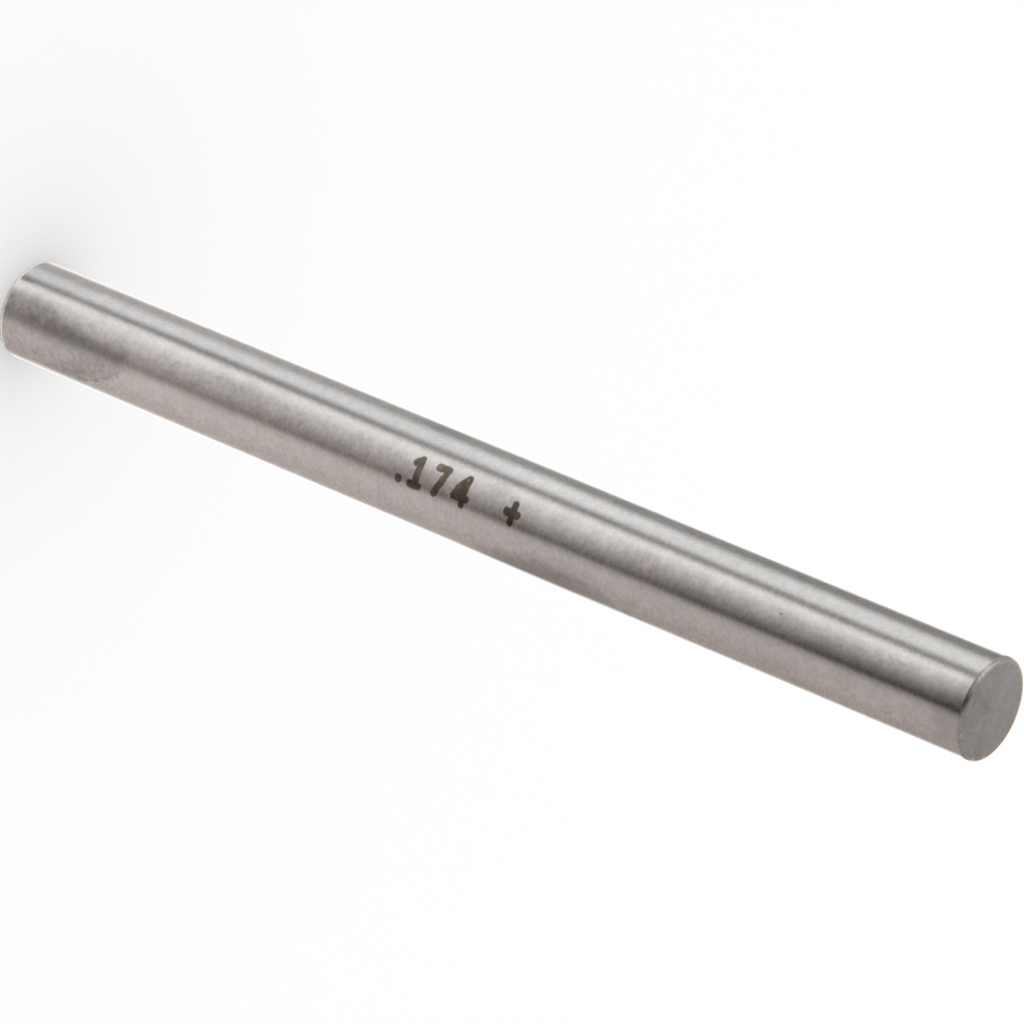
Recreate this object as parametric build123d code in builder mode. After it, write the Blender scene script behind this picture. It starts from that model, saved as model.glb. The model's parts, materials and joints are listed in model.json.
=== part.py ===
from build123d import *
import os

# Pin gauge: one hardened steel pin, ground round along its side and flat on both ends.
# It stands on its lower end. +Z runs up the pin, and the origin is the middle of the lower face.

# Ground sizes, in millimetres
gauge_diameter = 4.4196  # 0.174 in, the hole size that the pin checks
pin_length = 50.8  # 2 in, the length that gauges of this size are cut to

# Broken edges, which let the pin enter a hole without scraping its wall
lower_rim_round = 0.17
upper_rim_round = 0.17

# Sizes that follow from those
gauge_radius = gauge_diameter / 2
lower_face_radius = gauge_radius - lower_rim_round
upper_face_radius = gauge_radius - upper_rim_round
side_top = pin_length - upper_rim_round

os.makedirs("parts", exist_ok=True)

# The pin, turned about its axis from one half of its lengthwise section
with BuildPart() as gauge_pin:
    with BuildSketch(Plane.XZ):
        with BuildLine():
            lower_face = Line((0, 0), (lower_face_radius, 0))
            lower_rim = TangentArc(lower_face @ 1, (gauge_radius, lower_rim_round), tangent=lower_face % 1)
            ground_side = Line(lower_rim @ 1, (gauge_radius, side_top))
            upper_rim = TangentArc(ground_side @ 1, (upper_face_radius, pin_length), tangent=ground_side % 1)
            upper_face = Line(upper_rim @ 1, (0, pin_length))
            Line(upper_face @ 1, lower_face @ 0)
        make_face()
    revolve(axis=Axis.Z)
gauge_pin.part.label = "gauge_pin"
export_step(gauge_pin.part, "parts/gauge_pin.step")
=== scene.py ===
import json
import math

import bmesh
import bpy
from mathutils import Matrix, Vector


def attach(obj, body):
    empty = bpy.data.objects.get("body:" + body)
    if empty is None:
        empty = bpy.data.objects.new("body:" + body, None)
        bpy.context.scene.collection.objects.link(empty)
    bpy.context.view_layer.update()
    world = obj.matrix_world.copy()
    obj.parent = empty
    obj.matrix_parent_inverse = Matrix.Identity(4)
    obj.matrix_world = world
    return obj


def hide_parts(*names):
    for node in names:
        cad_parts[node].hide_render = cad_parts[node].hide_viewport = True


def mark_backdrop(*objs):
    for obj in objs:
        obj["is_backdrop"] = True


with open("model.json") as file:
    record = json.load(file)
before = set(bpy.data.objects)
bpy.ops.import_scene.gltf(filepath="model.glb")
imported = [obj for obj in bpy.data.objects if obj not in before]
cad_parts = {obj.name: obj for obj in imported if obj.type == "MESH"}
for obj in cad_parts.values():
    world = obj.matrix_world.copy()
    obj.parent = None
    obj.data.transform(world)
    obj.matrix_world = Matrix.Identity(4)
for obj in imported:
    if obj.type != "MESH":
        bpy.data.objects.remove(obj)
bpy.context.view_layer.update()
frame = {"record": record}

# The pin's own sizes, in metres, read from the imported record. The finishes are laid out in millimetres.
MM = 0.001
SIDE = next(m for m in frame["record"]["mounts"] if m["name"] == "ground_side")
RADIUS = SIDE["dims"]["r_mm"] * MM
LENGTH = 2 * SIDE["pos_m"][2]
RIM_ROUND = (LENGTH - SIDE["dims"]["length_mm"] * MM) / 2

# How fine the pin's mesh is
FACETS_ROUND = 192
FACETS_ACROSS_RIM = 8

# Half the width of the floor, in metres
FLOOR_HALF = 1.5

# The camera: its place, the way it looks, its turn about that way, its lens and sensor in mm, and the nearest
# and farthest that it sees
EYE = Vector((0.0, -214.324, 162.608)) * MM
LOOK = Vector((0.00038, 0.84459, -0.53541))
ROLL = math.radians(112.67)
LENS = 216.63
SENSOR_WIDTH = 36.0
NEAR_CLIP, FAR_CLIP = 0.01, 10.0

# The rises of the rays that the side mirrors to the camera, at its lower and at its upper end
MIRRORED_RISES = (-0.641, -0.46)


class Signal:
    """A number that varies over a surface: one output of a node, with the arithmetic of the finishes."""

    def __init__(self, graph, socket):
        self.graph, self.socket = graph, socket

    def math(self, operation, *terms):
        return self.graph.node("ShaderNodeMath", {"operation": operation}, dict(enumerate(terms)))[0]

    def __add__(self, other):
        return self.math("ADD", self, other)

    def __sub__(self, other):
        return self.math("SUBTRACT", self, other)

    def __mul__(self, other):
        return self.math("MULTIPLY", self, other)

    def __truediv__(self, other):
        return self.math("DIVIDE", self, other)

    def __radd__(self, other):
        return self.math("ADD", other, self)

    def __rsub__(self, other):
        return self.math("SUBTRACT", other, self)

    def __rmul__(self, other):
        return self.math("MULTIPLY", other, self)

    def __neg__(self):
        return self.math("MULTIPLY", self, -1.0)

    def __pow__(self, exponent):
        return self.math("POWER", self, exponent)

    def least(self, other):
        return self.math("MINIMUM", self, other)

    def most(self, other):
        return self.math("MAXIMUM", self, other)

    def size(self):
        return self.math("ABSOLUTE", self)

    def ramp(self, start, end, kind="LINEAR"):
        """0 before start, 1 after end, and even between. Start may be the larger of the two."""
        risen = self.graph.node(
            "ShaderNodeMapRange",
            {"interpolation_type": kind, "clamp": True},
            {"Value": self, "From Min": min(start, end), "From Max": max(start, end)},
        )["Result"]
        return risen if start < end else 1 - risen

    def ease(self, start, end):
        """As ramp, with a smooth start and end."""
        return self.ramp(start, end, "SMOOTHSTEP")

    def within(self, start, end, soft):
        """1 between start and end, falling to 0 over a width of soft centred on each."""
        return self.ease(start - soft / 2, start + soft / 2) * self.ease(end + soft / 2, end - soft / 2)


class Outputs(dict):
    """A node's outputs, by name or by place."""

    def __getitem__(self, key):
        return list(self.values())[key] if isinstance(key, int) else super().__getitem__(key)


class Graph:
    """The nodes of one finish or of the studio's light."""

    def __init__(self, owner):
        owner.use_nodes = True
        self.tree = owner.node_tree
        self.tree.nodes.clear()

    def node(self, kind, settings=None, sockets=None):
        """Adds a node: its settings first, then a value or a link for each socket named."""
        made = self.tree.nodes.new(kind)
        for name, value in (settings or {}).items():
            setattr(made, name, value)
        for key, value in (sockets or {}).items():
            socket = made.inputs[key] if isinstance(key, int) else self.socket(made, key)
            if isinstance(value, Signal):
                self.tree.links.new(value.socket, socket)
            else:
                socket.default_value = value
        return Outputs((s.identifier, Signal(self, s)) for s in made.outputs)

    @staticmethod
    def socket(made, key):
        return next(s for s in made.inputs if key in (s.identifier, s.name) and s.enabled)

    def blend(self, share, first, second, how="MIX"):
        """Mixes two colours."""
        return self.node(
            "ShaderNodeMix",
            {"data_type": "RGBA", "blend_type": how, "clamp_factor": True},
            {"Factor_Float": share, "A_Color": first, "B_Color": second},
        )["Result_Color"]

    def tint(self, share, first, second):
        """Lays the second colour over the first like a thin film, as strongly as share says."""
        return self.blend(share, first, second, "MULTIPLY")

    def layered(self, ground, *layers):
        """Covers a ground colour with layers, each given as its share and its colour."""
        for share, colour in layers:
            ground = self.blend(share, ground, colour)
        return ground

    def vector(self, operation, *terms, **sockets):
        inputs = {**dict(enumerate(terms)), **sockets}
        return self.node("ShaderNodeVectorMath", {"operation": operation}, inputs)[0]

    def parts(self, whole):
        """The three numbers of a vector."""
        return self.node("ShaderNodeSeparateXYZ", {}, {0: whole}).values()

    def joined(self, *parts):
        """A vector, or a colour, of three numbers."""
        return self.node("ShaderNodeCombineXYZ", {}, dict(enumerate(parts)))[0]

    def noise(self, place, stretch, detail=2.0, offset=0.0):
        """Smooth random tone about 0, within -1 to 1.

        stretch is the size of a grain in mm, or its sizes along X, Y and Z. Each noise has its own offset.
        """
        sizes = stretch if isinstance(stretch, tuple) else (stretch,) * 3
        moved = self.vector("MULTIPLY", place, tuple(1 / s for s in sizes))
        moved = self.vector("ADD", moved, (offset, 1.7 * offset, 2.3 * offset))
        sockets = {"Vector": moved, "Scale": 1.0, "Detail": detail, "Roughness": 0.5}
        return 2 * (self.node("ShaderNodeTexNoise", {}, sockets)["Fac"] - 0.5)


def rgb(red, green, blue):
    return (red, green, blue, 1.0)


# The size number on the side, as pen strokes: (height, arc) of both ends and half the width, in mm.
# Height runs up the pin and arc runs round it, from the middle of the marked side towards +X.
STROKES = (
    ((22.31, 0.61), (22.31, 0.63), 0.18),  # point
    ((22.92, -0.29), (23.10, -0.45), 0.15),  # one: flag, stem, foot
    ((23.14, -0.49), (23.18, 0.60), 0.16),
    ((22.93, 0.64), (23.35, 0.64), 0.17),
    ((24.06, -0.46), (24.53, -0.48), 0.172),  # seven: bar, stem
    ((24.55, -0.43), (24.43, -0.04), 0.145),
    ((24.43, -0.04), (24.19, 0.63), 0.165),
    ((25.63, -0.47), (25.42, -0.18), 0.163),  # four: slant, bar, stem and the filled corner between them
    ((25.42, -0.18), (25.28, 0.06), 0.163),
    ((25.28, 0.06), (25.18, 0.33), 0.157),
    ((25.17, 0.385), (25.80, 0.36), 0.165),
    ((25.65, -0.46), (25.65, 0.65), 0.15),
    ((25.52, -0.05), (25.40, 0.30), 0.15),
    ((28.19, -0.24), (28.19, 0.55), 0.155),  # plus sign
    ((27.90, 0.155), (28.42, 0.15), 0.185),
)

# Spots where the strokes are worn light: (height, arc) and half the size, in mm, and how worn they are.
# Below 0 a spot is less worn than the rest.
WORN = (
    ((22.31, 0.60), 0.30, 0.40),
    ((23.17, 0.08), 0.30, 0.60),
    ((24.04, -0.50), 0.20, 0.60),
    ((24.36, -0.02), 0.22, 0.28),
    ((24.34, -0.46), 0.24, -0.35),
    ((24.14, 0.62), 0.26, 0.30),
    ((25.58, -0.40), 0.09, 0.80),
    ((25.22, 0.02), 0.30, 0.34),
    ((28.42, 0.16), 0.25, 0.30),
)

# Spots on the side, from its lower end up: (height, arc), half the height and half the arc, in mm, and how
# dark they are.
# Below 0 a spot is lighter than the rest. Most are stains or rubbed spots; those marked below are painted
# shade and painted reflections.
STAINS_AND_PAINTED_SHADE = (
    # Painted reflection: deepens the mirrored dark gap between the soft boxes
    ((0.5, -1.15), 0.50, 0.14, 0.28),
    ((1.6, -1.70), 2.40, 0.75, 0.09),
    # This spot and the next darken the painted dark reflection at the lower end
    ((3.2, -0.38), 2.60, 0.40, 0.10),
    ((3.4, 0.60), 2.80, 0.65, 0.13),
    # Darkens the painted dark reflection at the lower end
    ((4.6, 2.45), 0.35, 0.25, 0.18),
    ((5.65, -1.90), 0.25, 0.80, 0.08),
    # Darkens the painted dark reflection at the lower end
    ((5.7, 0.78), 0.35, 0.30, 0.08),
    # Painted reflection: deepens the mirrored dark gap between the soft boxes
    ((6.1, -1.13), 0.90, 0.12, 0.10),
    # Darkens the painted dark reflection at the lower end
    ((6.65, 0.76), 0.35, 0.35, 0.14),
    ((12.2, -0.42), 0.35, 0.30, 0.12),
    ((13.0, 0.90), 0.80, 0.35, 0.08),
    ((13.8, -0.33), 1.70, 0.45, 0.13),
    # Painted reflection: deepens the mirrored dark gap between the soft boxes
    ((14.0, -1.16), 7.50, 0.28, 0.07),
    ((14.5, -0.31), 7.50, 0.16, 0.05),
    ((14.5, 0.31), 7.50, 0.20, 0.04),
    ((22.9, -2.50), 1.60, 0.50, 0.16),
    ((27.2, -0.60), 0.75, 0.35, 0.15),
    ((28.05, -0.36), 0.32, 0.30, 0.20),
    ((28.2, 0.50), 1.50, 0.35, 0.14),
    # Painted dark reflection darkening the lower edge of the side
    ((28.8, 2.84), 3.80, 0.30, 0.29),
    ((29.6, 1.55), 0.50, 0.35, 0.08),
    ((30.0, -1.80), 6.50, 0.50, -0.10),
    # Painted dark reflection darkening the lower edge of the side
    ((30.1, 2.85), 4.30, 1.30, 0.43),
    ((31.3, 1.70), 2.60, 0.55, 0.11),
    ((31.5, -0.05), 3.20, 0.50, -0.14),
    # Painted reflection: deepens the mirrored dark gap between the soft boxes
    ((32.0, -1.13), 1.20, 0.12, 0.12),
    ((32.6, -2.35), 1.00, 0.60, 0.08),
    # Painted dark reflection darkening the lower edge of the side
    ((33.3, 3.00), 8.50, 0.34, 0.23),
    ((34.2, 2.79), 0.22, 0.30, 0.32),
    ((34.4, 2.10), 0.50, 0.60, 0.08),
    ((34.85, 2.79), 0.22, 0.30, 0.24),
    ((38.0, 0.45), 1.30, 0.45, 0.13),
    ((41.0, -0.05), 0.90, 0.35, -0.11),
    ((41.4, -2.10), 0.25, 0.40, 0.10),
    ((41.62, -0.29), 0.09, 0.07, 0.40),
    ((43.8, -0.06), 0.40, 0.20, 0.06),
    ((44.6, 0.00), 0.35, 0.12, 0.10),
    ((45.8, 1.95), 3.60, 0.60, -0.08),
    ((46.5, 0.45), 4.00, 0.42, 0.11),
    ((47.5, -0.30), 0.20, 0.13, 0.18),
    ((47.7, 1.97), 0.25, 0.20, -0.12),
    # Painted shade where the side turns into the upper rim
    ((50.1, 0.80), 0.90, 1.40, 0.19),
    ((50.55, -0.25), 0.45, 0.75, 0.18),
)

# Stretches of arc round the side, in mm: where they start and end, and how softly
MIDDLE = (-0.5, 0.55, 0.3)
MIDDLE_AND_RIGHT = (-0.5, 3.6, 0.4)
RIGHT_FLANK = (1.65, 3.6, 1.1)
LEFT_FLANK = (-3.6, -2.1, 0.4)

STEEL_COLOUR = rgb(0.60, 0.585, 0.57)
WORN_BRIGHT = rgb(0.93, 0.90, 0.86)
TARNISH = rgb(1.14, 1.02, 0.88)
BURNT_BROWN = rgb(0.26, 0.22, 0.18)
BURNT_DARKER = rgb(0.215, 0.184, 0.15)
BURNT_WORN = rgb(0.50, 0.42, 0.36)
ROUGHNESS = 0.17


class Place:
    """Where a point of the pin lies, in mm, with the random tones that several finishes share."""

    def __init__(self, g):
        self.point = g.vector("SCALE", g.node("ShaderNodeTexCoord")["Object"], Scale=1 / MM)
        self.x, self.y, self.height = g.parts(self.point)
        self.arc = self.x.math("ARCTAN2", self.x, -self.y) * (RADIUS / MM)
        self.off_axis = (self.x * self.x + self.y * self.y) ** 0.5
        half_length = LENGTH / MM / 2
        self.on_side = (self.height - half_length).size().ease(half_length, half_length - RIM_ROUND / MM)
        self.on_end = 1 - self.on_side
        self.grain = g.noise(self.point, 0.19, offset=3.0)
        self.flecks = g.noise(self.point, 0.24, offset=55.0)
        self.blush = g.noise(self.point, 0.5, offset=31.0)
        self.mottle = g.noise(self.point, 0.7, offset=9.0)
        self.ragged = g.noise(self.point, 0.45, detail=3.0, offset=17.0) * 0.3


def ground_finish(g, at):
    """Bare steel: fine lines round the side, straighter lines across the ends, and a faint pink blush."""
    side_lines = g.noise(at.point, (2.5, 2.5, 0.07))
    grinding_way = math.radians(20)
    along, aside = math.cos(grinding_way), math.sin(grinding_way)
    turned = g.joined(at.x * along + at.y * aside, at.y * along - at.x * aside, at.height)
    end_lines = g.noise(turned, (2.2, 0.5, 5.0), offset=5.0)
    end_blush = g.noise(turned, (2.0, 0.6, 5.0), offset=12.0)
    end_slope = at.y * 0.35 - at.x

    # How strongly each tone shows. The grain and the blush are coarser on some stretches of the side.
    middle, middle_and_right = at.arc.within(*MIDDLE), at.arc.within(*MIDDLE_AND_RIGHT)
    right_flank, left_flank = at.arc.within(*RIGHT_FLANK), at.arc.within(*LEFT_FLANK)
    grain_share = 0.14 + middle * 0.11 + right_flank * 0.14 + left_flank * 0.07
    mottle_share = 0.12 + middle * 0.07
    side_blush_share = 0.035 + middle_and_right * 0.035 + left_flank * 0.07
    side_line_share, end_line_share, end_slope_share, end_blush_share = 0.03, 0.10, 0.05, 0.14

    side_tone = side_lines * side_line_share
    end_tone = end_lines * end_line_share + end_slope * end_slope_share
    tone = 1 + at.on_side * side_tone + at.on_end * end_tone
    tone = tone + at.grain * grain_share + at.mottle * mottle_share
    pink = at.on_side * at.blush * side_blush_share + at.on_end * end_blush * end_blush_share
    blue = pink * -0.8
    return g.tint(1.0, STEEL_COLOUR, g.joined(tone * (1 + pink), tone, tone * (1 + blue)))


def spot(at, middle, half_height, half_arc, ragged=0.0):
    """1 in the middle of an oval spot on the side, falling smoothly to 0 a little past its half sizes."""
    outermost = 1.2
    off_height, off_arc = (at.height - middle[0]) / half_height, (at.arc - middle[1]) / half_arc
    return (off_height * off_height + off_arc * off_arc + ragged).ease(outermost, 0.0)


def painted_foot_reflection(at):
    """How dark the dark reflection painted on the lower end is. Its top is level, but slants down on the
    flank.
    """
    flank = at.arc.ease(0.7, 1.3)
    wander = at.ragged * 0.7

    # How far below the top of the painted patch a point lies
    patch_top, flank_start = 7.15, 1.04
    slant, bend = 0.91, 0.585
    down_flank = (at.arc - flank_start).most(0.0)
    top_wander = wander + at.flecks * (flank * 0.25 + 0.15)
    below_top = patch_top - at.height - down_flank * (down_flank * bend + slant) + top_wander

    # The painted patch starts on the marked side, further round with height in two steps, and ends low on the
    # flank
    start_at_foot, first_step, second_step = -0.54, 0.46, 0.23
    start = at.height.ramp(2.2, 3.3) * first_step + at.height.ramp(3.5, 4.8) * second_step + start_at_foot
    past_start = (at.arc - start + wander).ease(-0.34, 0.34)
    softer_on_flank = 1 + flank * 1.2
    under_top = (below_top / softer_on_flank).ease(-0.12, 0.14)
    before_end = at.arc.ease(2.85, 2.3)
    covered = past_start * under_top * before_end

    # It is darker in front, most of all low down, and on the flank it has a dark band and a dark outline
    even_patch, low_front, front_loss = 0.17, 0.21, 0.07
    band_share, outline_share = 0.15, 0.16
    front = at.arc.ease(0.62, 0.36) * (low_front - at.height.ease(3.4, 5.6) * front_loss)
    band = below_top.ease(3.0, 1.6) * below_top.ease(0.3, 1.2) * band_share
    outline = below_top.within(-0.1, 0.3, 0.25) * outline_share
    dark = front + (band + outline) * flank + even_patch
    speckle = 1 + at.flecks * (flank * 0.5 + 0.55)
    return covered * dark * speckle


def with_painted_shade_and_stains(g, at, steel):
    """The steel with a dark reflection painted on its lower end, and with its stains, rubbed spots and
    painted shade.
    """
    # Painted shade: the dark patch at the lower end is a dark reflection painted into the steel's colour
    kept_tone = 1 - painted_foot_reflection(at)
    for middle, half_height, half_arc, dark in STAINS_AND_PAINTED_SHADE:
        kept_tone = kept_tone * (1 - spot(at, middle, half_height, half_arc, at.ragged) * dark)
    return g.tint(1.0, steel, g.joined(kept_tone, kept_tone, kept_tone))


def with_worn_ends(g, at, steel):
    """The steel with bright worn rims, a bright line along one edge of the upper face, and some tarnish."""
    radius, top, rim_round = RADIUS / MM, LENGTH / MM, RIM_ROUND / MM
    rim = at.on_end * at.off_axis.ease(radius - 1.6 * rim_round, radius - rim_round)
    rim_wear = g.noise(at.point, 0.3, offset=40.0).ease(0.05, 0.35) * rim
    # A bright line along the edge of the upper face, left of its middle
    face_edge = at.off_axis.within(radius - 1.5 * rim_round, radius - 0.8 * rim_round, 0.08)
    left_of_middle, on_upper_face = at.arc.ease(-0.6, -1.3), at.height.ease(top - 0.3, top - 0.1)
    bright_face_edge_line = face_edge * left_of_middle * on_upper_face * (0.75 + at.grain)
    most_worn = 0.6
    steel = g.blend(rim_wear.most(bright_face_edge_line) * most_worn, steel, WORN_BRIGHT)

    near_edge, at_the_back = at.off_axis.ease(1.75, 2.05), at.y.ease(0.2, 1.3)
    return g.tint(near_edge * at_the_back * at.height.ease(top - 0.4, top - 0.1), steel, TARNISH)


def stroke_depth(height, arc):
    """How far inside the nearest stroke a point lies, in mm. It is negative outside them all."""
    nearest = None
    for (h0, a0), (h1, a1), half_width in STROKES:
        run, rise = h1 - h0, a1 - a0
        along, across = height - h0, arc - a0
        share = ((along * run + across * rise) / (run * run + rise * rise)).most(0.0).least(1.0)
        off_height, off_arc = along - share * run, across - share * rise
        gap = (off_height * off_height + off_arc * off_arc) ** 0.5 - half_width
        nearest = gap if nearest is None else nearest.least(gap)
    return -nearest


def with_size_number(g, at, steel):
    """The steel with its size number burnt in, which is worn light in places."""
    wobble, wobble_length = 0.05, 0.18
    wobbly_height = at.height + g.noise(at.point, wobble_length, offset=14.0) * wobble
    wobbly_arc = at.arc + g.noise(at.point, wobble_length, offset=21.0) * wobble
    depth = stroke_depth(wobbly_height, wobbly_arc)
    marked, well_inside = depth.ease(-0.05, 0.045), depth.ease(0.01, 0.09)

    worn = at.blush * 0.2 + at.grain * 0.25
    for middle, half, share in WORN:
        worn = worn + spot(at, middle, half, half) * share
    worn = (worn * well_inside).most(0.0).least(1.0)
    past_the_seven = at.height.ease(24.7, 25.1)
    brown = g.layered(BURNT_BROWN, (past_the_seven, BURNT_DARKER), (worn, BURNT_WORN))
    return g.tint(marked, steel, brown)


def ground_steel():
    """Hardened steel, ground round its side and across its ends, with handling marks, painted dark
    reflections and painted shade, and its size number.
    """
    material = bpy.data.materials.new("ground_steel")
    g = Graph(material)
    at = Place(g)
    # The steel's colour holds painted dark reflections and painted shade, as well as stains and wear
    steel = with_worn_ends(g, at, with_painted_shade_and_stains(g, at, ground_finish(g, at)))
    colour = with_size_number(g, at, steel)

    unevenness = at.grain * 0.6 + at.mottle * 0.8
    unevenness_depth = 0.002 * MM
    sockets = {"Strength": 1.0, "Distance": unevenness_depth, "Height": unevenness}
    bump = g.node("ShaderNodeBump", {}, sockets)["Normal"]
    sockets = {"Base Color": colour, "Metallic": 1.0, "Roughness": ROUGHNESS, "Normal": bump}
    shader = g.node("ShaderNodeBsdfPrincipled", {}, sockets)["BSDF"]
    g.node("ShaderNodeOutputMaterial", {}, {"Surface": shader})
    return material


class Direction:
    """Which way a mirrored ray goes: its bearing round the pin and its rise.

    Bearings are in degrees, from the camera's side towards +X. Rise is -1 straight down and 1 straight up.
    """

    def __init__(self, g):
        x, y, self.rise = g.parts(g.node("ShaderNodeTexCoord")["Generated"])
        self.bearing = x.math("ARCTAN2", x, -y) * (180 / math.pi)
        self.off_front = self.bearing.size()
        self.level = self.rise.ramp(*MIRRORED_RISES)


def mirrored_band(g, way):
    """What the side mirrors to the camera, from the left to the right.

    A grey card, two soft boxes with a gap between, the room past them, partly in shade, and a second card.
    The cards are darker higher up. The rest change evenly from their first colour, which the pin's lower end
    mirrors, to their second.
    """
    bearing, rise, level = way.bearing, way.rise, way.level
    card_middle, card_top = rise.ease(-0.5685, -0.55), rise.ease(-0.538, -0.49)
    left_card = g.layered(
        rgb(0.601, 0.579, 0.569),
        (card_middle, rgb(0.428, 0.43, 0.427)),
        (card_top, rgb(0.337, 0.328, 0.32)),
    )
    cool_box = g.blend(level, rgb(0.994, 1.009, 1.045), rgb(1.076, 1.085, 1.09))
    gap = g.blend(level, rgb(0.35, 0.349, 0.354), rgb(0.293, 0.286, 0.269))
    warm_box = g.blend(level, rgb(1.171, 1.161, 1.151), rgb(1.226, 1.193, 1.187))
    room = g.blend(level, rgb(0.506, 0.422, 0.406), rgb(0.044, 0.042, 0.03))
    shaded_room = g.blend(level, rgb(0.435, 0.407, 0.376), rgb(0.012, 0.012, 0.012))
    further_right = bearing.ease(70, 125)
    right_card_low = g.blend(further_right, rgb(0.794, 0.73, 0.714), rgb(0.659, 0.586, 0.564))
    right_card_high = g.blend(further_right, rgb(0.575, 0.529, 0.516), rgb(0.497, 0.432, 0.408))
    right_card = g.blend(rise.ease(-0.55, -0.53), right_card_low, right_card_high)

    # Where each of them starts: the bearings where none of it and all of it shows, at the pin's lower end
    cool_box_start, gap_start, warm_box_start = (-119.6, -89.0), (-83.2, -65.3), (-67.0, -50.4)
    room_start, shade_start, card_fills = (-41.2, 45.8), (24, 30), (39.5, 54.2)
    card_start, card_softness, card_first_share = 38.1, 15.4, 0.63

    # Higher up, the soft boxes lean over to the right and the others to the left, with sharper edges
    box_lean, card_lean, room_lean, shade_lean = 13.7, 3.7, 3.9, 2.8
    room_sharpening, card_sharpening, room_fade = 0.35, 2.27, 1.576
    box_bearing, card_bearing = bearing - level * box_lean, bearing + level * card_lean
    room_bearing = (bearing + level * room_lean) * (1 + level * room_sharpening)
    card_edge = (card_bearing - card_start) * (1 + level * card_sharpening)
    room_share = 1 - (1 - room_bearing.ramp(*room_start)) ** room_fade
    card_share = card_first_share + card_bearing.ramp(*card_fills) * (1 - card_first_share)
    return g.layered(
        left_card,
        (bearing.ease(*cool_box_start), cool_box),
        (box_bearing.ease(*gap_start), gap),
        (box_bearing.ease(*warm_box_start), warm_box),
        (room_share, room),
        ((bearing + level * shade_lean).ease(*shade_start), shaded_room),
        (card_edge.ease(-card_softness, card_softness) * card_share, right_card),
    )


def upper_surroundings(g, way):
    """Grey walls, the dark camera, and a white box high at the back on the left, which lights the wall."""
    bearing, rise = way.bearing, way.rise
    bright_wall = bearing.within(-95, -66, 14)
    right_wall = bearing.ease(85, 100) * rise.ease(0.75, 0.6)
    dark_camera = bearing.ease(-40, 4) * bearing.ease(54, 14)
    at_back, overhead = way.off_front.ease(120, 150), rise.ease(0.95, 1.0)
    high_at_back = rise.ease(0.55, 0.95) * way.off_front.ease(145, 178)
    back_wall = g.blend(high_at_back, rgb(0.405, 0.383, 0.372), rgb(0.23, 0.22, 0.21))
    glow = bearing.ease(-185, -150) * bearing.ease(-95, -115) * rise.within(0.60, 0.88, 0.08)
    high_box = bearing.ease(-165, -140) * bearing.ease(-90, -106) * rise.within(0.72, 0.87, 0.08)
    return g.layered(
        rgb(0.465, 0.43, 0.42),
        (bright_wall, rgb(0.78, 0.765, 0.755)),
        (right_wall, rgb(0.38, 0.35, 0.345)),
        (dark_camera, rgb(0.12, 0.115, 0.11)),
        (at_back, back_wall),
        (glow, rgb(0.62, 0.61, 0.60)),
        (high_box, rgb(0.95, 0.93, 0.92)),
        (overhead, rgb(0.16, 0.154, 0.148)),
    )


def with_paper(g, way, light):
    """The surroundings with white paper behind the pin and under it. It hides the edges of the pin's side."""
    bearing, rise = way.bearing, way.rise
    lying_paper, paper_foot = rise.ease(-0.1, -0.4), rise.ease(-0.582, -0.606)
    paper_behind = g.layered(
        rgb(1.2, 1.12, 1.04),
        (lying_paper, rgb(1.38, 1.37, 1.35)),
        (paper_foot, rgb(1.22, 1.21, 1.19)),
    )

    # The paper reaches further round on the left, and on both sides at the pin's lower end, in degrees
    on_left, on_right = bearing.ease(1, -1), bearing.ease(-1, 1)
    left_reach, foot_reach, right_foot_reach = 1.0, 1.5, 4.0
    at_foot = rise.ease(-0.575, -0.603)
    reach = on_left * left_reach + at_foot * (on_right * right_foot_reach + foot_reach)
    behind = (way.off_front + reach).ease(140.5, 159) * rise.ramp(0.38, -0.1)
    below, straight_below = rise.ease(-0.66, -0.74), rise.ease(-0.84, -0.96)
    return g.layered(
        light,
        (behind, paper_behind),
        (below, rgb(1.35, 1.33, 1.31)),
        (straight_below, rgb(0.92, 0.905, 0.89)),
    )


def studio():
    """Plain white surroundings. Soft boxes, cards and paper round the pin show only in its reflections."""
    world = bpy.data.worlds.new("studio")
    bpy.context.scene.world = world
    g = Graph(world)
    way = Direction(g)
    above = way.rise.ease(-0.36, -0.29)
    light = g.blend(above, mirrored_band(g, way), upper_surroundings(g, way))
    light = with_paper(g, way, light)

    shown_in_steel = g.node("ShaderNodeLightPath")["Is Glossy Ray"]
    colour = g.blend(shown_in_steel, rgb(1.0, 1.0, 1.0), light)
    background = g.node("ShaderNodeBackground", {}, {"Color": colour})[0]
    g.node("ShaderNodeOutputWorld", {}, {"Surface": background})
    world.cycles.sampling_method = "NONE"


def matt_white():
    material = bpy.data.materials.new("matt_white_paper")
    g = Graph(material)
    shader = g.node("ShaderNodeBsdfDiffuse", {}, {"Color": rgb(1.0, 1.0, 1.0)})["BSDF"]
    g.node("ShaderNodeOutputMaterial", {}, {"Surface": shader})
    return material


def finished(bm, name, material):
    """Makes an object of a bmesh, with its place in its mesh."""
    bmesh.ops.recalc_face_normals(bm, faces=bm.faces)
    mesh = bpy.data.meshes.new(name)
    bm.to_mesh(mesh)
    bm.free()
    piece = bpy.data.objects.new(name, mesh)
    bpy.context.scene.collection.objects.link(piece)
    mesh.materials.append(material)
    return piece


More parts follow.
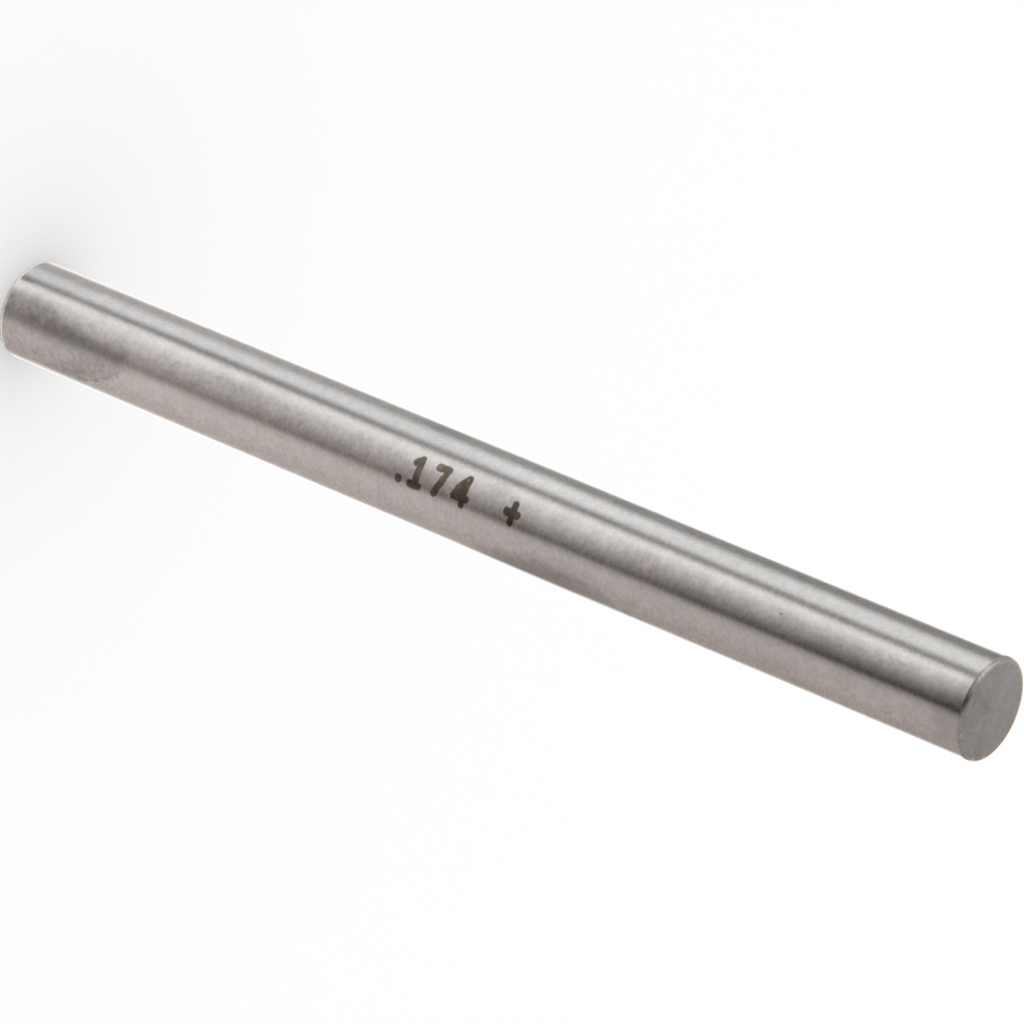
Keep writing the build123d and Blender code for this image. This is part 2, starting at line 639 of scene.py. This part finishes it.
def ground_pin(material):
    """The pin with fine facets: a round bar with both rims rounded over."""
    bm = bmesh.new()
    bmesh.ops.create_cone(
        bm, cap_ends=True, segments=FACETS_ROUND, radius1=RADIUS, radius2=RADIUS, depth=LENGTH
    )
    bmesh.ops.translate(bm, verts=bm.verts, vec=(0, 0, LENGTH / 2))
    rims = [e for e in bm.edges if abs(e.verts[0].co.z - e.verts[1].co.z) < LENGTH / 2]
    bmesh.ops.bevel(
        bm,
        geom=rims,
        offset=RIM_ROUND,
        segments=FACETS_ACROSS_RIM,
        profile=0.5,
        affect="EDGES",
        material=-1,
    )

    # Narrow rings of faces beside the rims keep the shading of the side and the ends true
    ring = RIM_ROUND * 0.1
    for height in (RIM_ROUND + ring, LENGTH / 2, LENGTH - RIM_ROUND - ring):
        whole = bm.verts[:] + bm.edges[:] + bm.faces[:]
        bmesh.ops.bisect_plane(bm, geom=whole, plane_co=(0, 0, height), plane_no=(0, 0, 1))
    ends = [f for f in bm.faces if len(f.verts) > 4]
    bmesh.ops.inset_region(bm, faces=ends, thickness=ring)
    for face in bm.faces:
        face.smooth = True
    return finished(bm, "pin", material)


def paper_floor(material):
    """A wide sheet of white paper. The steel doesn't mirror it: its surroundings already hold paper."""
    bm = bmesh.new()
    bmesh.ops.create_grid(bm, x_segments=1, y_segments=1, size=FLOOR_HALF)
    floor = finished(bm, "floor", material)
    floor.visible_glossy = False
    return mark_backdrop(floor)


def camera():
    """A long lens a little over 25 cm from the pin, turned so that the pin runs down across the picture."""
    data = bpy.data.cameras.new("camera")
    data.sensor_width = SENSOR_WIDTH
    data.lens = LENS
    data.clip_start, data.clip_end = NEAR_CLIP, FAR_CLIP
    turned = LOOK.to_track_quat("-Z", "Y").to_matrix().to_4x4() @ Matrix.Rotation(ROLL, 4, "Z")
    seen_from = bpy.data.objects.new("camera", data)
    seen_from.matrix_world = Matrix.Translation(EYE) @ turned
    bpy.context.scene.collection.objects.link(seen_from)
    bpy.context.scene.camera = seen_from


pin = ground_pin(ground_steel())
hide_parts("gauge_pin")
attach(pin, "root")
paper_floor(matt_white())
studio()
camera()
bpy.context.scene.view_settings.view_transform = "Standard"
